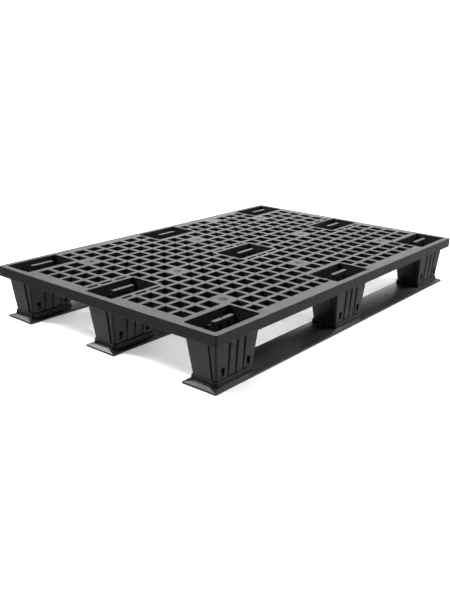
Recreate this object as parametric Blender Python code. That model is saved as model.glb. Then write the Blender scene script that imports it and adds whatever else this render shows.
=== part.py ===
"""Open-deck plastic pallet, 1200 x 800 mm, on nine hollow feet and three clip-on runners.

Metres, +Z up. The origin is on the floor under the middle of the deck, +X runs along the
runners, and -Y is the front. Four mouldings make the real pallet: the deck with its nine feet,
and three runners whose hooks snap into windows in the feet.
"""

import math

import bmesh
import bpy

# Overall size
LENGTH = 1.200
WIDTH = 0.800
HEIGHT = 0.150

# Gap left between pieces that touch
TOUCH = 0.0003
# How far a cutter runs past the face that it cuts
PAST = 0.002

# Deck plate, skirt and the square openings
PLATE = 0.0035
SKIRT_DEPTH = 0.029
SKIRT_WALL = 0.004
DECK_CORNER = 0.005
DECK_EDGE = 0.0015
PITCH = 0.050
COLUMNS = 23
ROWS = 15
OPENING = 0.038
BORDER = 0.037
COLLAR_WALL = 0.003
COLLAR_DEPTH = 0.027

# Blank cells (column from the left, row from the front), and their conical gate recess
GATED_CELLS = ((4, 3), (20, 3), (12, 4), (6, 8), (18, 8), (12, 12), (4, 13), (20, 13))
PLAIN_CELLS = ((17, 15),)
GATE_MOUTH = 0.013
GATE_TIP = 0.002
GATE_DEPTH = 0.0065
BOSS_RADIUS = 0.0165
BOSS_DEPTH = 0.0100

# Feet: centres, the mouth in the deck and the solid strip kept round it
FOOT_X = 0.502
FOOT_Y = 0.335
MOUTH = (0.0815, 0.048)
MOUTH_CORNER = 0.005
STRIP = (0.009, 0.011)
STRIP_CORNER = 0.014

# Foot cup, half sizes in plan at its floor, where the taper changes, and under the deck plate
FOOT_LOW = (0.0673, 0.0375)
FOOT_BEND = (0.0800, 0.0467)
FOOT_HIGH = (0.0845, 0.0510)
FOOT_BASE = 0.0235
FOOT_BEND_Z = 0.1190
# How far the floor and the runner of an outer foot stand out from the middle of its mouth
FOOT_LEAN = 0.0025
FOOT_FLOOR = 0.004
FOOT_WALL_LOW = 0.0035
FOOT_WALL_HIGH = 0.003
FOOT_CORNER = 0.006
PANEL_HALF = 0.0255
PANEL_PROUD = 0.003
PANEL_TOP = 0.119

# Flutes down the long faces, deepest at the top
FLUTE_PITCH = 0.0275
FLUTE_HALF = 0.0055
FLUTE_FLOOR_HALF = 0.0024
FLUTE_DEEP = 0.0050
FLUTE_SHALLOW = 0.0015
FLUTE_TOP = 0.119

# Rib that stands in each cup, up to the deck
RIB_LOW = (0.0400, 0.0110)
RIB_HIGH = (0.0350, 0.0057)
RIB_TOP = 0.1495
RIB_WALL = 0.0025
RIB_SLOT_X = 0.0155
RIB_SLOT_HALF = 0.0052
RIB_SLOT_LOW = 0.095
RIB_SLOT_HIGH = 0.1395
NOTCH_HALF = 0.0022
NOTCH_DEPTH = 0.006

# Latch windows in the feet and the slots in their floors
WINDOW_X = 0.0463
WINDOW_HALF = 0.0064
WINDOW_LOW = 0.0305
WINDOW_HIGH = 0.0525
HOOK_SLOT = (0.0280, 0.0319)

# Runners
RUNNER_END = 0.0125
RUNNER_HALF = 0.0515
RUNNER_LIP = 0.005
RUNNER_TOP = 0.011
RUNNER_SLOPE_X = 0.009
RUNNER_FLAT_HALF = 0.026
PLINTH = (0.0705, 0.0400)
PLINTH_FLARE = 0.0010
PLINTH_TOP = 0.0215
PAD = (0.0620, 0.0325)
PLINTH_CORNER = 0.008
RUNNER_SKIN = 0.0035
HOLLOW = (0.0660, 0.0355)
HOLLOW_RIB = 0.004
BAY_COUNT = 4
BAY_HALF = 0.022
BAY_RIB = 0.006

# Snap hooks on the runners: half width, outline in depth and height
HOOK_HALF = 0.0048
HOOK_INNER = 0.0285
HOOK_OUTER = 0.0314
HOOK_BARB = 0.0354
HOOK_BARB_LOW = WINDOW_LOW + TOUCH
HOOK_BARB_HIGH = 0.0320
HOOK_TIP = 0.0375

DECK_UNDER = HEIGHT - SKIRT_DEPTH
PLATE_UNDER = HEIGHT - PLATE
FOOT_RIM = PLATE_UNDER - TOUCH
BLACK = (0.030, 0.031, 0.033, 1.0)


def clear_scene():
    """Removes whatever the file opened with."""
    for obj in list(bpy.data.objects):
        bpy.data.objects.remove(obj, do_unlink=True)


def new_collection(name):
    collection = bpy.data.collections.new(name)
    bpy.context.scene.collection.children.link(collection)
    return collection


def plastic(name, roughness):
    """Black moulded polypropylene."""
    material = bpy.data.materials.new(name)
    material.use_nodes = True
    shader = material.node_tree.nodes["Principled BSDF"]
    shader.inputs["Base Color"].default_value = BLACK
    shader.inputs["Roughness"].default_value = roughness
    shader.inputs["Metallic"].default_value = 0.0
    material.diffuse_color = BLACK
    return material


def as_object(name, bm, collection):
    """Turns a bmesh into an object with outward normals."""
    bmesh.ops.recalc_face_normals(bm, faces=bm.faces)
    mesh = bpy.data.meshes.new(name)
    bm.to_mesh(mesh)
    bm.free()
    obj = bpy.data.objects.new(name, mesh)
    collection.objects.link(obj)
    return obj


def as_cutter(name, bm, cutters):
    """A helper object that a render and the build leave out."""
    obj = as_object(name, bm, cutters)
    obj.hide_render = True
    obj.display_type = "WIRE"
    return obj


def add_block(bm, centre, low_half, high_half, z_low, z_high, corner=0.0, segments=3):
    """A box, tapered where its two half sizes differ, with its upright edges rounded by corner."""
    fresh = bmesh.ops.create_cube(bm, size=2.0)["verts"]
    for vert in fresh:
        half = high_half if vert.co.z > 0 else low_half
        vert.co.x = centre[0] + vert.co.x * half[0]
        vert.co.y = centre[1] + vert.co.y * half[1]
        vert.co.z = z_high if vert.co.z > 0 else z_low
    if corner > 0.0:
        own = set(fresh)
        upright = [
            edge
            for edge in bm.edges
            if own.issuperset(edge.verts) and edge.verts[0].co.z != edge.verts[1].co.z
        ]
        bmesh.ops.bevel(bm, geom=upright, offset=corner, segments=segments, profile=0.5, affect="EDGES")


def add_box(bm, low, high):
    """A plain box between two corners."""
    centre = ((low[0] + high[0]) / 2, (low[1] + high[1]) / 2)
    half = ((high[0] - low[0]) / 2, (high[1] - low[1]) / 2)
    add_block(bm, centre, half, half, low[2], high[2])


def add_prism(bm, outline, x_low, x_high):
    """Extrudes an outline of (y, z) points along X."""
    face = bm.faces.new([bm.verts.new((x_low, y, z)) for y, z in outline])
    extruded = bmesh.ops.extrude_face_region(bm, geom=[face])["geom"]
    for item in extruded:
        if isinstance(item, bmesh.types.BMVert):
            item.co.x = x_high


def combine(target, other, operation):
    modifier = target.modifiers.new(operation.title(), "BOOLEAN")
    modifier.operation = operation
    modifier.solver = "EXACT"
    modifier.object = other


def bake(obj):
    """Replaces an object's modifiers by the mesh that they make."""
    bpy.context.view_layer.update()
    graph = bpy.context.evaluated_depsgraph_get()
    mesh = bpy.data.meshes.new_from_object(obj.evaluated_get(graph))
    mesh.name = obj.name
    obj.modifiers.clear()
    obj.data = mesh


def blend(low, high, z, z_low, z_high):
    """Half sizes at height z of a taper between two heights."""
    share = (z - z_low) / (z_high - z_low)
    return tuple(a + (b - a) * share for a, b in zip(low, high))


def foot_half(z):
    return blend(FOOT_LOW, FOOT_BEND, z, FOOT_BASE, FOOT_BEND_Z)


def carry_up(bm, half, high_half, z, z_high):
    """Extrudes the top face of a block at height z to a second height, with a new taper."""
    top = [face for face in bm.faces if min(vert.co.z for vert in face.verts) > z - TOUCH]
    extruded = bmesh.ops.extrude_face_region(bm, geom=top)["geom"]
    bmesh.ops.delete(bm, geom=top, context="FACES_ONLY")
    for item in extruded:
        if isinstance(item, bmesh.types.BMVert):
            item.co.x *= high_half[0] / half[0]
            item.co.y *= high_half[1] / half[1]
            item.co.z = z_high


def lean_out(obj, lean):
    """Shears an object so that its floor moves by lean along Y and its rim stays."""
    for vert in obj.data.vertices:
        vert.co.y += lean * (FOOT_RIM - vert.co.z) / (FOOT_RIM - FOOT_BASE)


def foot_centres():
    """(column index, row index, x, y) of the nine feet."""
    for row in (-1, 0, 1):
        for column in (-1, 0, 1):
            yield column, row, column * FOOT_X, row * FOOT_Y


# Deck


def cell_span(index, count, edge, grow):
    """Where one opening starts and ends along an axis, cut short at the border."""
    middle = (index - (count + 1) / 2) * PITCH
    limit = edge / 2 - BORDER
    low = max(middle - OPENING / 2, -limit) - grow
    high = min(middle + OPENING / 2, limit) + grow
    return low, high


def inside_strip(x_span, y_span):
    """True where the solid strip round a foot's mouth swallows the whole cell."""
    for _, _, foot_x, foot_y in foot_centres():
        reach_x = MOUTH[0] + STRIP[0]
        reach_y = MOUTH[1] + STRIP[1]
        in_x = foot_x - reach_x <= x_span[0] and x_span[1] <= foot_x + reach_x
        in_y = foot_y - reach_y <= y_span[0] and y_span[1] <= foot_y + reach_y
        if in_x and in_y:
            return True
    return False


def add_cells(bm, grow, z_low, z_high):
    """A box for every opening of the deck, grown by a margin."""
    for column in range(1, COLUMNS + 1):
        for row in range(1, ROWS + 1):
            if (column, row) in GATED_CELLS or (column, row) in PLAIN_CELLS:
                continue
            if inside_strip(cell_span(column, COLUMNS, LENGTH, 0.0), cell_span(row, ROWS, WIDTH, 0.0)):
                continue
            x_span = cell_span(column, COLUMNS, LENGTH, grow)
            y_span = cell_span(row, ROWS, WIDTH, grow)
            add_box(bm, (x_span[0], y_span[0], z_low), (x_span[1], y_span[1], z_high))


def add_strips(bm, shrink, z_low, z_high):
    """The solid strip round each foot's mouth."""
    half = (MOUTH[0] + STRIP[0] - shrink, MOUTH[1] + STRIP[1] - shrink)
    for _, _, x, y in foot_centres():
        add_block(bm, (x, y), half, half, z_low, z_high, STRIP_CORNER - shrink, 3)


def clipped_cells(name, grow, z_low, z_high, cutters):
    """The openings, or the collars round them, less the strips round the feet."""
    cells = bmesh.new()
    add_cells(cells, grow, z_low, z_high)
    cell_cutter = as_cutter(name, cells, cutters)
    strips = bmesh.new()
    add_strips(strips, grow, z_low - PAST, z_high + PAST)
    combine(cell_cutter, as_cutter(name + "_strips", strips, cutters), "DIFFERENCE")
    return cell_cutter


def gate_positions():
    for column, row in GATED_CELLS:
        yield (column - (COLUMNS + 1) / 2) * PITCH, (row - (ROWS + 1) / 2) * PITCH


def add_cone(bm, x, y, low_radius, high_radius, z_low, z_high, segments):
    """An upright cone or cylinder."""
    fresh = bmesh.ops.create_cone(
        bm,
        cap_ends=True,
        segments=segments,
        radius1=low_radius,
        radius2=high_radius,
        depth=z_high - z_low,
    )["verts"]
    bmesh.ops.translate(bm, verts=fresh, vec=(x, y, (z_low + z_high) / 2))


def make_deck(parts, cutters):
    """Plate, skirt and a collar round every opening, hollow between the collars."""
    body = bmesh.new()
    half = (LENGTH / 2, WIDTH / 2)
    add_block(body, (0.0, 0.0), half, half, DECK_UNDER, HEIGHT, DECK_CORNER, 3)
    top_edges = [e for e in body.edges if min(v.co.z for v in e.verts) > PLATE_UNDER]
    bmesh.ops.bevel(body, geom=top_edges, offset=DECK_EDGE, segments=1, profile=0.5, affect="EDGES")
    deck = as_object("deck_grid", body, parts)

    hollow = bmesh.new()
    inner = (LENGTH / 2 - SKIRT_WALL, WIDTH / 2 - SKIRT_WALL)
    add_block(hollow, (0.0, 0.0), inner, inner, DECK_UNDER - PAST, PLATE_UNDER, PAST, 1)
    hollow_cutter = as_cutter("deck_hollow", hollow, cutters)
    collars = clipped_cells("deck_collars", COLLAR_WALL, HEIGHT - COLLAR_DEPTH, HEIGHT, cutters)
    combine(hollow_cutter, collars, "DIFFERENCE")
    bosses = bmesh.new()
    for x, y in gate_positions():
        add_cone(bosses, x, y, BOSS_RADIUS, BOSS_RADIUS, HEIGHT - BOSS_DEPTH, HEIGHT, 12)
    combine(hollow_cutter, as_cutter("deck_bosses", bosses, cutters), "DIFFERENCE")
    combine(deck, hollow_cutter, "DIFFERENCE")

    openings = clipped_cells("deck_openings", 0.0, DECK_UNDER - PAST, HEIGHT + PAST, cutters)
    combine(deck, openings, "DIFFERENCE")

    mouths = bmesh.new()
    for _, _, x, y in foot_centres():
        add_block(mouths, (x, y), MOUTH, MOUTH, PLATE_UNDER - PAST, HEIGHT + PAST, MOUTH_CORNER, 3)
    for x, y in gate_positions():
        past_mouth = GATE_MOUTH + (GATE_MOUTH - GATE_TIP) * PAST / GATE_DEPTH
        add_cone(mouths, x, y, GATE_TIP, past_mouth, HEIGHT - GATE_DEPTH, HEIGHT + PAST, 16)
    combine(deck, as_cutter("deck_mouths", mouths, cutters), "DIFFERENCE")
    bake(deck)
    return deck


# Feet


def add_flutes(bm, wall, z_low, z_high):
    """Tapered grooves on both long faces. With a wall, the groove's shape grown by it."""
    slope = (FOOT_BEND[1] - FOOT_LOW[1]) / (FOOT_BEND_Z - FOOT_BASE)
    for side in (-1, 1):
        for place in (-1, 0, 1):
            fresh = bmesh.ops.create_cube(bm, size=2.0)["verts"]
            for vert in fresh:
                z = z_high if vert.co.z > 0 else z_low
                share = (z - FOOT_BASE) / (FLUTE_TOP - FOOT_BASE)
                depth = FLUTE_SHALLOW + (FLUTE_DEEP - FLUTE_SHALLOW) * share + wall
                face = FOOT_LOW[1] + slope * (z - FOOT_BASE)
                outer = vert.co.y > 0
                width = FLUTE_HALF + wall if outer else FLUTE_FLOOR_HALF + wall
                reach = face + PAST if outer else face - depth
                vert.co = (place * FLUTE_PITCH + vert.co.x * width, side * reach, z)


def make_foot(name, lean, notched, parts, cutters):
    """A tapered cup with a floor, a hollow rib up to deck height and windows for the hooks.

    Cut upright and then leaned. Two of the ribs have a notch in the top.
    """
    shell = bmesh.new()
    add_block(shell, (0.0, 0.0), FOOT_LOW, FOOT_BEND, FOOT_BASE, FOOT_BEND_Z, FOOT_CORNER, 3)
    carry_up(shell, FOOT_BEND, FOOT_HIGH, FOOT_BEND_Z, FOOT_RIM)
    foot = as_object(name, shell, parts)

    panel = bmesh.new()
    panel_low = (FOOT_LOW[0] + PANEL_PROUD, PANEL_HALF)
    panel_high = (foot_half(PANEL_TOP)[0] + PANEL_PROUD, PANEL_HALF)
    add_block(panel, (0.0, 0.0), panel_low, panel_high, FOOT_BASE, PANEL_TOP)
    combine(foot, as_cutter(name + "_panels", panel, cutters), "UNION")

    cavity = bmesh.new()
    floor_z = FOOT_BASE + FOOT_FLOOR
    cavity_low = tuple(size - FOOT_WALL_LOW for size in foot_half(floor_z))
    cavity_bend = tuple(size - FOOT_WALL_HIGH for size in FOOT_BEND)
    cavity_high = tuple(size - FOOT_WALL_HIGH for size in FOOT_HIGH)
    cavity_open = blend(cavity_bend, cavity_high, FOOT_RIM + PAST, FOOT_BEND_Z, FOOT_RIM)
    inner_corner = FOOT_CORNER - FOOT_WALL_HIGH
    add_block(cavity, (0.0, 0.0), cavity_low, cavity_bend, floor_z, FOOT_BEND_Z, inner_corner, 2)
    carry_up(cavity, cavity_bend, cavity_open, FOOT_BEND_Z, FOOT_RIM + PAST)
    cavity_cutter = as_cutter(name + "_cavity", cavity, cutters)
    bulges = bmesh.new()
    add_flutes(bulges, FOOT_WALL_HIGH, FOOT_BASE, FLUTE_TOP + FOOT_WALL_HIGH)
    combine(cavity_cutter, as_cutter(name + "_bulges", bulges, cutters), "DIFFERENCE")
    combine(foot, cavity_cutter, "DIFFERENCE")

    rib = bmesh.new()
    add_block(rib, (0.0, 0.0), RIB_LOW, RIB_HIGH, FOOT_BASE + FOOT_FLOOR / 2, RIB_TOP, RIB_WALL, 2)
    combine(foot, as_cutter(name + "_rib", rib, cutters), "UNION")

    rib_core = bmesh.new()
    core_low = tuple(size - RIB_WALL for size in RIB_LOW)
    core_high = tuple(size - RIB_WALL for size in RIB_HIGH)
    add_block(rib_core, (0.0, 0.0), core_low, core_high, FOOT_BASE - PAST, RIB_TOP - RIB_WALL)
    combine(foot, as_cutter(name + "_rib_core", rib_core, cutters), "DIFFERENCE")

    holes = bmesh.new()
    for side_x in (-1, 1):
        x = side_x * RIB_SLOT_X
        low = (x - RIB_SLOT_HALF, -2 * RIB_HIGH[1], RIB_SLOT_LOW)
        high = (x + RIB_SLOT_HALF, 2 * RIB_HIGH[1], RIB_SLOT_HIGH)
        add_box(holes, low, high)
    arches = [edge for edge in holes.edges if edge_along_y(edge, RIB_SLOT_HIGH)]
    bmesh.ops.bevel(holes, geom=arches, offset=RIB_SLOT_HALF * 0.9, segments=3, profile=0.5, affect="EDGES")
    for side_x in (-1, 1):
        for side_y in (-1, 1):
            x_low, x_high = sorted((side_x * (WINDOW_X - WINDOW_HALF), side_x * (WINDOW_X + WINDOW_HALF)))
            wall_low, wall_high = sorted((side_y * (FOOT_LOW[1] - FOOT_WALL_LOW - PAST), side_y * FOOT_HIGH[1]))
            add_box(holes, (x_low, wall_low, WINDOW_LOW), (x_high, wall_high, WINDOW_HIGH))
            slot_low, slot_high = sorted((side_y * HOOK_SLOT[0], side_y * HOOK_SLOT[1]))
            add_box(holes, (x_low, slot_low, FOOT_BASE - PAST), (x_high, slot_high, floor_z + TOUCH))
    if notched:
        add_box(holes, (-NOTCH_HALF, 0.0, RIB_TOP - NOTCH_DEPTH), (NOTCH_HALF, 2 * RIB_HIGH[1], RIB_TOP + PAST))
    combine(foot, as_cutter(name + "_holes", holes, cutters), "DIFFERENCE")

    flutes = bmesh.new()
    add_flutes(flutes, 0.0, FOOT_BASE - PAST, FLUTE_TOP)
    combine(foot, as_cutter(name + "_flutes", flutes, cutters), "DIFFERENCE")
    bake(foot)
    lean_out(foot, lean)
    return foot


def edge_along_y(edge, z):
    """True for an edge that runs along Y at height z."""
    first, second = edge.verts
    level = abs(first.co.z - z) < TOUCH and abs(second.co.z - z) < TOUCH
    return level and abs(first.co.y - second.co.y) > RIB_HIGH[1]


def make_feet(parts, cutters):
    """Nine feet. Those of the outer rows lean out, and two have a notched rib."""
    columns = {-1: "left", 0: "middle", 1: "right"}
    rows = {-1: "front", 0: "centre", 1: "rear"}
    feet = []
    for column, row, x, y in foot_centres():
        notched = (column, row) in ((-1, -1), (0, 1))
        name = "foot_" + rows[row] + "_" + columns[column]
        foot = make_foot(name, row * FOOT_LEAN, notched, parts, cutters)
        foot.location = (x, y, 0.0)
        feet.append(foot)
    return feet


# Runners


def hook_outline(side):
    """(y, z) points of a snap hook: a tongue with a barb that points out of the foot."""
    points = (
        (HOOK_INNER, PLINTH_TOP - RUNNER_SKIN / 2),
        (HOOK_OUTER, PLINTH_TOP - RUNNER_SKIN / 2),
        (HOOK_OUTER, HOOK_BARB_LOW),
        (HOOK_BARB, HOOK_BARB_LOW),
        (HOOK_BARB, HOOK_BARB_HIGH),
        (HOOK_OUTER - RUNNER_SKIN / 4, HOOK_TIP),
        (HOOK_INNER, HOOK_TIP),
    )
    return [(side * y, z) for y, z in points]


def make_runner(name, parts, cutters):
    """A flat skid with sloped edges, three plinths under the feet and twelve snap hooks."""
    skid = bmesh.new()
    half = (LENGTH / 2 - RUNNER_END, RUNNER_HALF)
    add_block(skid, (0.0, 0.0), half, half, 0.0, RUNNER_LIP)
    top = [f for f in skid.faces if f.calc_center_median().z > RUNNER_LIP * 0.9]
    extruded = bmesh.ops.extrude_face_region(skid, geom=top)["geom"]
    bmesh.ops.delete(skid, geom=top, context="FACES_ONLY")
    for item in extruded:
        if isinstance(item, bmesh.types.BMVert):
            item.co.x -= math.copysign(RUNNER_SLOPE_X, item.co.x)
            item.co.y = math.copysign(RUNNER_FLAT_HALF, item.co.y)
            item.co.z = RUNNER_TOP
    runner = as_object(name, skid, parts)

    plinths = bmesh.new()
    wide = tuple(size + PLINTH_FLARE for size in PLINTH)
    for column in (-1, 0, 1):
        centre = (column * FOOT_X, 0.0)
        add_block(plinths, centre, wide, PLINTH, RUNNER_LIP, PLINTH_TOP, PLINTH_CORNER, 3)
    combine(runner, as_cutter(name + "_plinths", plinths, cutters), "UNION")

    pads = bmesh.new()
    for column in (-1, 0, 1):
        centre = (column * FOOT_X, 0.0)
        add_block(pads, centre, PAD, PAD, PLINTH_TOP - PAST, FOOT_BASE - TOUCH, FOOT_CORNER, 1)
    combine(runner, as_cutter(name + "_pads", pads, cutters), "UNION")

    hooks = bmesh.new()
    for column in (-1, 0, 1):
        for side_x in (-1, 1):
            for side_y in (-1, 1):
                x = column * FOOT_X + side_x * WINDOW_X
                add_prism(hooks, hook_outline(side_y), x - HOOK_HALF, x + HOOK_HALF)
    combine(runner, as_cutter(name + "_hooks", hooks, cutters), "UNION")

    bays = bmesh.new()
    for column in (-1, 0, 1):
        for side in (-1, 1):
            near = column * FOOT_X + side * HOLLOW_RIB / 2
            far = column * FOOT_X + side * HOLLOW[0]
            x_low, x_high = sorted((near, far))
            add_box(bays, (x_low, -HOLLOW[1], -PAST), (x_high, HOLLOW[1], PLINTH_TOP - RUNNER_SKIN))
    span_low = HOLLOW[0] + BAY_RIB
    bay = (FOOT_X - HOLLOW[0] - span_low) / BAY_COUNT
    for side in (-1, 1):
        for index in range(BAY_COUNT):
            start = span_low + index * bay
            x_low, x_high = sorted((side * start, side * (start + bay - BAY_RIB)))
            add_box(bays, (x_low, -BAY_HALF, -PAST), (x_high, BAY_HALF, RUNNER_TOP - RUNNER_SKIN))
    combine(runner, as_cutter(name + "_bays", bays, cutters), "DIFFERENCE")
    bake(runner)
    return runner


def make_runners(parts, cutters):
    """Three runners that share one mesh, each under the floors of its row of feet."""
    source = make_runner("runner_source", parts, cutters)
    runners = []
    for row, place in ((-1, "front"), (0, "centre"), (1, "rear")):
        runner = bpy.data.objects.new("runner_" + place, source.data)
        runner.location = (0.0, row * (FOOT_Y + FOOT_LEAN), 0.0)
        parts.objects.link(runner)
        runners.append(runner)
    bpy.data.objects.remove(source, do_unlink=True)
    return runners


def main():
    clear_scene()
    parts = new_collection("plastic_pallet")
    cutters = new_collection("cutters")
    pieces = [make_deck(parts, cutters)]
    pieces += make_feet(parts, cutters)
    pieces += make_runners(parts, cutters)
    root = bpy.data.objects.new("plastic_pallet", None)
    parts.objects.link(root)
    for piece in pieces:
        roughness = 0.55 if piece.name.startswith("runner") else 0.45
        if not piece.data.materials:
            piece.data.materials.append(None)
        piece.material_slots[0].link = "OBJECT"
        piece.material_slots[0].material = plastic(piece.name + "_plastic", roughness)
        piece.parent = root


main()
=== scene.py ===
"""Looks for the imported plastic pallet: materials, rounded edges, moulding marks, stage and camera."""

import math

import bmesh
import bpy
from mathutils import Matrix, Vector, geometry


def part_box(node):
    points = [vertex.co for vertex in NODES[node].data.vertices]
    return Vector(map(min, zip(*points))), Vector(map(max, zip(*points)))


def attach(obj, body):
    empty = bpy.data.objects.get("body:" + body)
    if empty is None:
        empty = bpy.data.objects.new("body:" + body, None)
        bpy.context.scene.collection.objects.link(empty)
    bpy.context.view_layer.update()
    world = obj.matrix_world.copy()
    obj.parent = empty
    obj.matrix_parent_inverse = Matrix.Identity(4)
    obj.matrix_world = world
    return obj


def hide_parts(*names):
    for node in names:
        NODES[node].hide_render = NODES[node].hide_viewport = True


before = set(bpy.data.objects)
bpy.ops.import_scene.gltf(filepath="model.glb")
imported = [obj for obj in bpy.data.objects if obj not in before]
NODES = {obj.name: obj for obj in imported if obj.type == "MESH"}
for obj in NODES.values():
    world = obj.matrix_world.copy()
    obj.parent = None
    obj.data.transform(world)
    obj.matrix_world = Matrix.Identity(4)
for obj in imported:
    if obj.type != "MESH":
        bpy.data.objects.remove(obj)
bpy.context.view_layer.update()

# Camera, in metres and in the model's frame
CAMERA_AT = Vector((-1.7104, -1.3497, 0.7277))
CAMERA_FORWARD = Vector((0.73915, 0.59037, -0.32424))
CAMERA_UP = Vector((0.24031, 0.21857, 0.94577))
CAMERA_LENS = 44.02
CAMERA_SHIFT = (-0.0248, 0.0044)

# Deck moulding
PLATE = 0.0035
DECK_EDGE = 0.0015
SKIRT_WALL = 0.004
SKIRT_LIP = 0.0008
COLLAR_WALL = 0.003
COLLAR_DEPTH = 0.027
CELL_CORNER = 0.0022
CELL_RIM = 0.0007
CELL_DRAFT = 0.0006
MOUTH_RIM = 0.0010

# Gates on the deck: a CAD outline this round and this small is one; radius and drop pairs, rim to middle
GATE_POINTS = 14
GATE_WIDTH = 0.029
GATE_RECESS = (
    (0.0136, 0.0),
    (0.0130, 0.0002),
    (0.0124, 0.0006),
    (0.0028, 0.0058),
    (0.0023, 0.0060),
    (0.0022, 0.0046),
    (0.0015, 0.0041),
    (0.0005, 0.0041),
)
GATE_BOSS = ((0.0161, 0.0100), (0.0165, 0.0096), (0.0165, PLATE))

# Marks that stand on flat faces: radius and height pairs, rim to middle
EJECTOR_MARK = (
    (0.0026, -0.0004),
    (0.0026, 0.00005),
    (0.0023, 0.00020),
    (0.0017, 0.00020),
    (0.0014, 0.00004),
)
GATE_SCAR = (
    (0.0075, -0.0004),
    (0.0075, 0.00005),
    (0.0068, 0.0005),
    (0.0060, 0.0005),
    (0.0052, 0.00005),
    (0.0026, 0.00005),
    (0.0021, 0.0011),
    (0.0012, 0.0014),
)
MARK_INSET = 0.018
GATE_SCAR_X = 0.293

# Flat top of a runner above the floor
RUNNER_TOP = 0.011

# Edge rounding: width in metres, and the least angle in degrees that counts as an edge
FOOT_ROUNDING = (0.0011, 35)
RUNNER_ROUNDING = (0.0009, 24)


# Node helpers


class Nodes:
    """Short calls for building a node tree."""

    def __init__(self, tree):
        self.tree = tree

    def add(self, kind, **settings):
        node = self.tree.nodes.new(kind)
        for key, value in settings.items():
            setattr(node, key, value)
        return node

    def feed(self, node, **inputs):
        """Sets sockets, by name with spaces as underscores, to numbers or to other sockets."""
        for key, value in inputs.items():
            numbered = key[0] == "i" and key[1:].isdigit()
            socket = node.inputs[int(key[1:]) if numbered else key.replace("_", " ")]
            if isinstance(value, bpy.types.NodeSocket):
                self.tree.links.new(value, socket)
            else:
                socket.default_value = value
        return node.outputs[0]

    def math(self, operation, first, second=0.0, clamp=False):
        node = self.add("ShaderNodeMath", operation=operation, use_clamp=clamp)
        return self.feed(node, i0=first, i1=second)

    def ramp(self, factor, low, high, low_value=0.0, high_value=1.0):
        """Maps low..high to low_value..high_value, clamped and smoothed."""
        node = self.add("ShaderNodeMapRange", interpolation_type="SMOOTHSTEP")
        return self.feed(
            node, Value=factor, From_Min=low, From_Max=high, To_Min=low_value, To_Max=high_value
        )

    def noise(self, vector, scale, detail=3.0, roughness=0.5, distortion=0.0):
        node = self.add("ShaderNodeTexNoise")
        return self.feed(
            node, Vector=vector, Scale=scale, Detail=detail, Roughness=roughness, Distortion=distortion
        )

    def mapped(self, vector, scale=(1.0, 1.0, 1.0), rotation=(0.0, 0.0, 0.0)):
        node = self.add("ShaderNodeMapping")
        return self.feed(node, Vector=vector, Scale=scale, Rotation=rotation)

    def mix(self, factor, first, second):
        node = self.add("ShaderNodeMix", data_type="RGBA")
        self.feed(node, i0=factor, i6=first, i7=second)
        return node.outputs[2]


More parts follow.
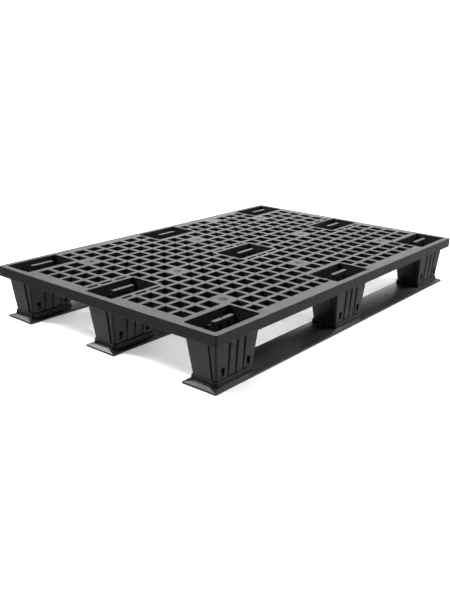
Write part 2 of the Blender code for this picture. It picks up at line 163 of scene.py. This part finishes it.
def plastic(name, base, dust_and_highlight_colour, roughness, scuffs, edge_wear_and_highlight):
    """Black recycled polyolefin: moulded grain, upright flow marks, dust, scuffs, and pale edges that are
    partly wear and partly a painted highlight.
    """
    material = bpy.data.materials.new(name)
    material.use_nodes = True
    nodes = Nodes(material.node_tree)
    shader = material.node_tree.nodes["Principled BSDF"]
    place = nodes.add("ShaderNodeTexCoord").outputs["Object"]
    geometry = nodes.add("ShaderNodeNewGeometry")
    upward = nodes.add("ShaderNodeSeparateXYZ")
    nodes.feed(upward, Vector=geometry.outputs["Normal"])
    facing_up = nodes.ramp(upward.outputs["Z"], 0.55, 0.98)

    clouds = nodes.noise(place, 9.0, 4.0, 0.6)
    specks = nodes.noise(place, 340.0, 2.0, 0.6)
    dust = nodes.math("MULTIPLY", nodes.ramp(clouds, 0.38, 0.72), nodes.ramp(specks, 0.42, 0.75))
    settled = nodes.math("MULTIPLY", dust, nodes.math("MULTIPLY", facing_up, 0.75))

    scratches = None
    for angle in (0.35, 1.25, 2.30, 2.95):
        streaks = nodes.mapped(place, (9.0, 700.0, 60.0), (0.0, 0.0, angle))
        line = nodes.ramp(nodes.noise(streaks, 1.0, 2.0, 0.55), 0.68, 0.76)
        scratches = line if scratches is None else nodes.math("MAXIMUM", scratches, line)
    patch = nodes.ramp(nodes.noise(place, 14.0, 2.0), 0.45, 0.65)
    scratches = nodes.math("MULTIPLY", scratches, nodes.math("MULTIPLY", patch, scuffs))

    upright = nodes.ramp(nodes.math("ABSOLUTE", upward.outputs["Z"]), 0.0, 0.5, 1.0, 0.0)
    flow = nodes.noise(nodes.mapped(place, (150.0, 150.0, 2.5)), 1.0, 3.0, 0.65)
    flow = nodes.math("MULTIPLY", nodes.ramp(flow, 0.35, 0.70, -0.5, 0.5), upright)

    # Convex edges take the pale colour: partly wear, partly a painted highlight along the edges
    edge_wear_and_highlight_mask = nodes.ramp(geometry.outputs["Pointiness"], 0.51, 0.57)
    chipped_and_highlit_edges = nodes.math("MULTIPLY", edge_wear_and_highlight_mask, nodes.ramp(specks, 0.30, 0.60))
    lift = nodes.math("ADD", settled, nodes.math("MULTIPLY", scratches, 0.6), clamp=True)
    lift = nodes.math("ADD", lift, nodes.math("MULTIPLY", chipped_and_highlit_edges, edge_wear_and_highlight), clamp=True)
    lift = nodes.math("ADD", lift, nodes.math("MULTIPLY", flow, 0.10), clamp=True)
    colour = nodes.mix(lift, base, dust_and_highlight_colour)

    rough = nodes.math("ADD", nodes.math("MULTIPLY", clouds, 0.12), roughness - 0.06)
    rough = nodes.math("ADD", rough, nodes.math("MULTIPLY", lift, 0.18))
    rough = nodes.math("SUBTRACT", rough, nodes.math("MULTIPLY", flow, 0.14), clamp=True)

    grain = nodes.noise(place, 900.0, 2.0, 0.6)
    ripple = nodes.noise(place, 60.0, 2.0, 0.5)
    height = nodes.math("MULTIPLY", grain, 0.00005)
    height = nodes.math("ADD", height, nodes.math("MULTIPLY", ripple, 0.00022))
    height = nodes.math("SUBTRACT", height, nodes.math("MULTIPLY", scratches, 0.00004))
    bump = nodes.add("ShaderNodeBump")
    nodes.feed(bump, Height=height, Strength=0.9, Distance=1.0)

    nodes.feed(shader, Base_Color=colour, Roughness=rough, Normal=bump.outputs["Normal"])
    nodes.feed(shader, IOR=1.40, Specular_IOR_Level=0.5)
    return material


def smooth_group():
    """A geometry node group that shades everything smooth."""
    group = bpy.data.node_groups.new("shade_smooth", "GeometryNodeTree")
    group.interface.new_socket("Geometry", in_out="INPUT", socket_type="NodeSocketGeometry")
    group.interface.new_socket("Geometry", in_out="OUTPUT", socket_type="NodeSocketGeometry")
    entry = group.nodes.new("NodeGroupInput")
    leave = group.nodes.new("NodeGroupOutput")
    smooth = group.nodes.new("GeometryNodeSetShadeSmooth")
    group.links.new(entry.outputs[0], smooth.inputs["Geometry"])
    group.links.new(smooth.outputs[0], leave.inputs[0])
    return group


def round_edges(obj, width, angle, group):
    """Rounds the sharp edges of a piece, as a moulding's are."""
    weld = obj.modifiers.new("Weld", "WELD")
    weld.merge_threshold = 1e-5
    flat = obj.modifiers.new("Flat faces", "DECIMATE")
    flat.decimate_type = "DISSOLVE"
    flat.angle_limit = math.radians(0.5)
    smooth = obj.modifiers.new("Smooth", "NODES")
    smooth.node_group = group
    bevel = obj.modifiers.new("Bevel", "BEVEL")
    bevel.width = width
    bevel.segments = 2
    bevel.limit_method = "ANGLE"
    bevel.angle_limit = math.radians(angle)
    bevel.miter_outer = "MITER_ARC"
    normals = obj.modifiers.new("Normals", "WEIGHTED_NORMAL")
    normals.mode = "FACE_AREA"
    normals.weight = 60


# Deck, rebuilt from the outlines of the CAD deck's top with rounded edges


def top_outlines(obj, level):
    """Closed outlines, as lists of 2-D points, of the flat area of a mesh at one height."""
    counts = {}
    for face in obj.data.polygons:
        points = [obj.data.vertices[index].co for index in face.vertices]
        if min(point.z for point in points) < level - 1e-5:
            continue
        keys = [(round(point.x, 6), round(point.y, 6)) for point in points]
        for start, end in zip(keys, keys[1:] + keys[:1]):
            if counts.pop((end, start), None) is None:
                counts[(start, end)] = True
    follow = {start: end for start, end in counts}
    outlines = []
    while follow:
        start, point = follow.popitem()
        outline = [Vector(start)]
        while point != start:
            outline.append(Vector(point))
            point = follow.pop(point)
        outlines.append(without_straight_points(outline))
    return outlines


def without_straight_points(outline):
    kept = []
    for index, point in enumerate(outline):
        before = (point - outline[index - 1]).normalized()
        after = (outline[(index + 1) % len(outline)] - point).normalized()
        if abs(before.cross(after)) > 0.02:
            kept.append(point)
    return kept


def signed_area(outline):
    return sum(a.cross(b) for a, b in zip(outline, outline[1:] + outline[:1])) / 2


def fillet(outline, radius, steps=3):
    """Rounds the corners that turn by more than 50 degrees."""
    rounded = []
    for index, point in enumerate(outline):
        before = point - outline[index - 1]
        after = outline[(index + 1) % len(outline)] - point
        turn = abs(before.angle_signed(after))
        if turn < math.radians(50):
            rounded.append(point)
            continue
        reach = min(radius * math.tan(turn / 2), before.length * 0.45, after.length * 0.45)
        start = point - before.normalized() * reach
        end = point + after.normalized() * reach
        for step in range(steps + 1):
            share = step / steps
            rounded.append(start.lerp(point, share).lerp(point.lerp(end, share), share))
    return rounded


def offset(outline, distance):
    """Moves an outline sideways: to the right of its direction for a positive distance."""
    moved = []
    for index, point in enumerate(outline):
        before = (point - outline[index - 1]).normalized()
        after = (outline[(index + 1) % len(outline)] - point).normalized()
        normal = Vector((before.y + after.y, -before.x - after.x)).normalized()
        spread = max(0.5, normal.dot(Vector((after.y, -after.x))))
        moved.append(point + normal * (distance / spread))
    return moved


def add_wall(bm, outlines):
    """Joins outlines of (points, z), one below another, and returns their vertex rings."""
    rings = [[bm.verts.new((point.x, point.y, z)) for point in points] for points, z in outlines]
    for upper, lower in zip(rings, rings[1:]):
        for index in range(len(upper)):
            after = (index + 1) % len(upper)
            bm.faces.new((upper[index], lower[index], lower[after], upper[after]))
    return rings


def inside(point, outline):
    """True where a 2-D point is inside a closed outline."""
    crossings = 0
    for a, b in zip(outline, outline[1:] + outline[:1]):
        if (a.y > point.y) != (b.y > point.y):
            crossings += point.x < a.x + (point.y - a.y) * (b.x - a.x) / (b.y - a.y)
    return crossings % 2 == 1


def fill_between(bm, rings):
    """Flat faces inside the first ring and outside the others, all at one height."""
    flat = [[vert.co.to_2d() for vert in ring] for ring in rings]
    points = [point for ring in flat for point in ring]
    verts = [vert for ring in rings for vert in ring]
    owner = [number for number, ring in enumerate(rings) for _ in ring]
    edges = []
    for ring in rings:
        first = len(edges)
        edges += [(first + index, first + (index + 1) % len(ring)) for index in range(len(ring))]
    _, _, faces, source, _, _ = geometry.delaunay_2d_cdt(points, edges, [], 1, 1e-7)
    for face in faces:
        corners = [source[index][0] for index in face]
        owners = {owner[index] for index in corners}
        centre = sum((points[index] for index in corners), Vector((0.0, 0.0))) / 3
        if len(owners) == 1 and owners != {0} and inside(centre, flat[owners.pop()]):
            continue
        bm.faces.new([verts[index] for index in corners])


def round_profile(radius, steps=3):
    """(outward distance, drop) pairs of a rounded top edge, from the flat top down to the wall."""
    pairs = []
    for step in range(steps + 1):
        angle = math.pi / 2 * step / steps
        pairs.append((radius * (1 - math.sin(angle)), radius * (1 - math.cos(angle))))
    return pairs


def width_of(outline):
    return max(point.x for point in outline) - min(point.x for point in outline)


def is_gate(outline):
    return len(outline) > GATE_POINTS and width_of(outline) < GATE_WIDTH


def make_deck(look):
    """The deck with rounded rims, drafted cell walls and hollow collars below the plate."""
    low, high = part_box("deck_grid")
    top = high.z
    under = top - PLATE
    outlines = top_outlines(NODES["deck_grid"], top)
    outlines.sort(key=lambda outline: abs(signed_area(outline)), reverse=True)
    outer, holes = outlines[0], outlines[1:]
    if signed_area(outer) < 0:
        outer.reverse()
    bm = bmesh.new()
    sides = [(offset(outer, DECK_EDGE - out), top - drop) for out, drop in round_profile(DECK_EDGE, 4)]
    skirt = offset(outer, DECK_EDGE)
    inner = offset(outer, DECK_EDGE - SKIRT_WALL)
    lip = SKIRT_LIP
    sides += [
        (skirt, low.z + lip),
        (offset(skirt, -lip * 0.3), low.z + lip * 0.3),
        (offset(skirt, -lip), low.z),
        (offset(inner, lip), low.z),
        (inner, low.z + lip),
        (inner, under),
    ]
    rings = add_wall(bm, sides)
    top_rings = [rings[0]]
    under_rings = [rings[-1]]
    for hole in holes:
        if signed_area(hole) > 0:
            hole.reverse()
        if is_gate(hole):
            continue
        mouth = width_of(hole) > 0.1
        radius = 0.0 if mouth else CELL_CORNER
        shape = fillet(hole, radius) if radius else hole
        rim = MOUTH_RIM if mouth else CELL_RIM
        wall = [(offset(shape, -out), top - drop) for out, drop in round_profile(rim)]
        if mouth:
            wall.append((shape, under))
        else:
            floor = top - COLLAR_DEPTH
            wall += [
                (offset(shape, CELL_DRAFT), floor + 0.0005),
                (offset(shape, CELL_DRAFT - 0.0004), floor),
                (offset(shape, 0.0004 - COLLAR_WALL), floor),
                (offset(shape, -COLLAR_WALL), floor + 0.0005),
                (offset(shape, -COLLAR_WALL), under),
            ]
        rings = add_wall(bm, wall)
        top_rings.append(rings[0])
        under_rings.append(rings[-1])
    for hole in holes:
        if not is_gate(hole):
            continue
        centre = sum(hole, Vector((0.0, 0.0))) / len(hole)
        rings = add_wall(bm, [(circle(centre, radius), top - drop) for radius, drop in GATE_RECESS])
        bm.faces.new(rings[-1])
        top_rings.append(rings[0])
        rings = add_wall(bm, [(circle(centre, radius), top - drop) for radius, drop in GATE_BOSS])
        bm.faces.new(rings[0])
        under_rings.append(rings[-1])
    fill_between(bm, top_rings)
    fill_between(bm, under_rings)
    deck = finish_piece("deck_moulding", bm, look)
    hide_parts("deck_grid")


def finish_piece(name, bm, look):
    """Makes a smooth-shaded piece that rides on the pallet."""
    bmesh.ops.recalc_face_normals(bm, faces=bm.faces)
    for face in bm.faces:
        face.smooth = True
    mesh = bpy.data.meshes.new(name)
    bm.to_mesh(mesh)
    bm.free()
    mesh.materials.append(look)
    obj = bpy.data.objects.new(name, mesh)
    bpy.context.scene.collection.objects.link(obj)
    normals = obj.modifiers.new("Normals", "WEIGHTED_NORMAL")
    normals.mode = "FACE_AREA"
    normals.weight = 60
    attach(obj, "root")
    return obj


def add_lathe(bm, centre, level, profile, steps=20):
    """A closed turned shape on a flat face: (radius, height) pairs from the rim to the middle."""
    wall = [(circle(centre, radius, steps), level + height) for radius, height in profile]
    rings = add_wall(bm, wall)
    bm.faces.new(rings[-1])
    bm.faces.new(rings[0])


def make_ejector_marks(look):
    """Low round marks that the ejector pins leave along the border of the deck."""
    low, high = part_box("deck_grid")
    bm = bmesh.new()
    for side in (-1, 1):
        for share in (-0.575, -0.5133, -0.3150, -0.2617, 0.2767, 0.5783, 0.6367):
            centre = Vector((share * high.x, side * (high.y - MARK_INSET)))
            add_lathe(bm, centre, high.z, EJECTOR_MARK)
    for side in (-1, 1):
        for share in (-0.62, -0.425, -0.2425, 0.2425, 0.425, 0.62):
            centre = Vector((side * (high.x - MARK_INSET), share * high.y))
            add_lathe(bm, centre, high.z, EJECTOR_MARK)
    finish_piece("ejector_marks", bm, look)


def make_runner_gates(look):
    """Gate scars on the runner tops, each a ring round a broken-off stub."""
    bm = bmesh.new()
    for name in ("runner_front", "runner_centre", "runner_rear"):
        low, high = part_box(name)
        for side in (-1, 1):
            centre = Vector((side * GATE_SCAR_X, (low.y + high.y) / 2))
            add_lathe(bm, centre, low.z + RUNNER_TOP, GATE_SCAR)
    finish_piece("runner_gate_scars", bm, look)


def circle(centre, radius, steps=24):
    """Points of a circle, clockwise as a hole's outline is."""
    turns = [-2 * math.pi * step / steps for step in range(steps)]
    return [centre + Vector((radius * math.cos(turn), radius * math.sin(turn))) for turn in turns]


# Stage, light and camera


def make_floor():
    """A pale floor and, behind the pallet, the same paper curving up. The sides don't mirror the floor."""
    material = bpy.data.materials.new("floor_paper")
    material.use_nodes = True
    shader = material.node_tree.nodes["Principled BSDF"]
    shader.inputs["Base Color"].default_value = (0.88, 0.88, 0.88, 1.0)
    shader.inputs["Roughness"].default_value = 0.9
    shader.inputs["Specular IOR Level"].default_value = 0.1
    shader.inputs["Emission Color"].default_value = (1.0, 1.0, 1.0, 1.0)
    shader.inputs["Emission Strength"].default_value = 0.36
    flat = 2.4
    radius = 1.5
    level = -0.0003
    curve = [(flat, level)]
    for step in range(1, 13):
        angle = math.pi / 2 * step / 12
        curve.append((flat + radius * math.sin(angle), level + radius - radius * math.cos(angle)))
    curve.append((flat + radius, 6.0))
    floor = add_paper("floor", [(-5.0, level), (flat, level)], material)
    floor.visible_glossy = False
    add_paper("backdrop", curve, material)


def add_paper(name, profile, material):
    """A sheet with this profile along the camera's heading, 14 m wide."""
    along = Vector((CAMERA_FORWARD.x, CAMERA_FORWARD.y, 0.0)).normalized()
    across = Vector((-along.y, along.x, 0.0))
    bm = bmesh.new()
    rows = []
    for side in (-7.0, 7.0):
        rows.append([bm.verts.new(along * s + across * side + Vector((0.0, 0.0, z))) for s, z in profile])
    for index in range(len(profile) - 1):
        bm.faces.new((rows[0][index], rows[0][index + 1], rows[1][index + 1], rows[1][index]))
    bmesh.ops.recalc_face_normals(bm, faces=bm.faces)
    mesh = bpy.data.meshes.new(name)
    bm.to_mesh(mesh)
    bm.free()
    mesh.shade_smooth()
    mesh.materials.append(material)
    sheet = bpy.data.objects.new(name, mesh)
    bpy.context.scene.collection.objects.link(sheet)
    return sheet


def add_softbox(name, at, target, size, power):
    """A rectangular area light aimed at a point."""
    data = bpy.data.lights.new(name, "AREA")
    data.shape = "RECTANGLE"
    data.size = size[0]
    data.size_y = size[1]
    data.energy = power
    light = bpy.data.objects.new(name, data)
    light.location = at
    light.rotation_euler = (Vector(target) - Vector(at)).to_track_quat("-Z", "Y").to_euler()
    bpy.context.scene.collection.objects.link(light)


def make_light():
    """Light from above, behind and both sides. The camera's side stays dark, so corners facing it do too."""
    add_softbox("overhead", (0.9, 0.7, 2.7), (0.2, 0.1, 0.0), (2.2, 1.8), 80.0)
    add_softbox("sweep", (1.3, 1.05, 2.9), (3.2, 2.55, 0.9), (3.0, 1.6), 46.0)
    add_softbox("left", (-1.5, 1.9, 2.1), (-0.4, 0.0, 0.1), (0.6, 0.5), 110.0)
    add_softbox("right", (1.9, -1.3, 1.7), (0.2, -0.2, 0.1), (0.5, 0.4), 60.0)
    world = bpy.data.worlds.new("world")
    world.use_nodes = True
    nodes = Nodes(world.node_tree)
    way = nodes.add("ShaderNodeSeparateXYZ")
    nodes.feed(way, Vector=nodes.add("ShaderNodeTexCoord").outputs["Generated"])
    along = nodes.math("MULTIPLY", way.outputs["X"], 0.78)
    along = nodes.math("ADD", along, nodes.math("MULTIPLY", way.outputs["Y"], 0.62))
    above = nodes.ramp(nodes.math("ADD", along, way.outputs["Z"]), -0.4, 1.1, 0.03, 0.75)
    low = nodes.ramp(way.outputs["X"], -0.6, 0.6, 1.30, 0.80)
    level = nodes.ramp(way.outputs["X"], -0.6, 0.6, 0.04, 0.38)
    below = nodes.ramp(way.outputs["Z"], -0.58, -0.28, low, level)
    toward = nodes.math("MULTIPLY", way.outputs["X"], -0.63)
    toward = nodes.math("SUBTRACT", toward, nodes.math("MULTIPLY", way.outputs["Y"], 0.777))
    below = nodes.math("MULTIPLY", below, nodes.ramp(toward, 0.45, 0.80, 1.0, 0.04))
    below = nodes.math("MULTIPLY", below, nodes.ramp(along, 0.10, 0.50, 0.85, 1.50))
    under = nodes.ramp(way.outputs["Z"], -0.12, 0.02, 1.0, 0.0)
    difference = nodes.math("MULTIPLY", nodes.math("SUBTRACT", below, above), under)
    background = world.node_tree.nodes["Background"]
    background.inputs["Color"].default_value = (1.0, 1.0, 1.0, 1.0)
    nodes.feed(background, Strength=nodes.math("ADD", above, difference))
    bpy.context.scene.world = world


def make_camera():
    data = bpy.data.cameras.new("camera")
    data.lens = CAMERA_LENS
    data.sensor_width = 36.0
    data.sensor_fit = "AUTO"
    data.shift_x, data.shift_y = CAMERA_SHIFT
    data.clip_end = 60.0
    camera = bpy.data.objects.new("camera", data)
    forward = CAMERA_FORWARD.normalized()
    right = forward.cross(CAMERA_UP).normalized()
    up = right.cross(forward)
    turn = Matrix((right, up, -forward)).transposed().to_4x4()
    camera.matrix_world = Matrix.Translation(CAMERA_AT) @ turn
    bpy.context.scene.collection.objects.link(camera)
    bpy.context.scene.camera = camera


def main():
    black = (0.0075, 0.0076, 0.0079, 1.0)
    # Pale grey of dust and scuffs; the edges take it too, as a painted highlight
    dust = (0.065, 0.065, 0.064, 1.0)
    deck_plastic = plastic("deck_plastic_look", black, dust, 0.33, 0.7, 0.06)
    # The runners' large edge value paints bright highlights along their hips and ridges, partly as wear from
    # the floor
    runner_plastic = plastic("runner_plastic_look", black, dust, 0.36, 1.0, 0.6)
    group = smooth_group()
    make_deck(deck_plastic)
    make_ejector_marks(deck_plastic)
    make_runner_gates(runner_plastic)
    for name, obj in NODES.items():
        if name == "deck_grid":
            continue
        runner = name.startswith("runner")
        obj.data.materials.clear()
        obj.data.materials.append(runner_plastic if runner else deck_plastic)
        width, angle = RUNNER_ROUNDING if runner else FOOT_ROUNDING
        round_edges(obj, width, angle, group)
    make_floor()
    make_light()
    make_camera()
    bpy.context.scene.view_settings.view_transform = "Standard"


main()
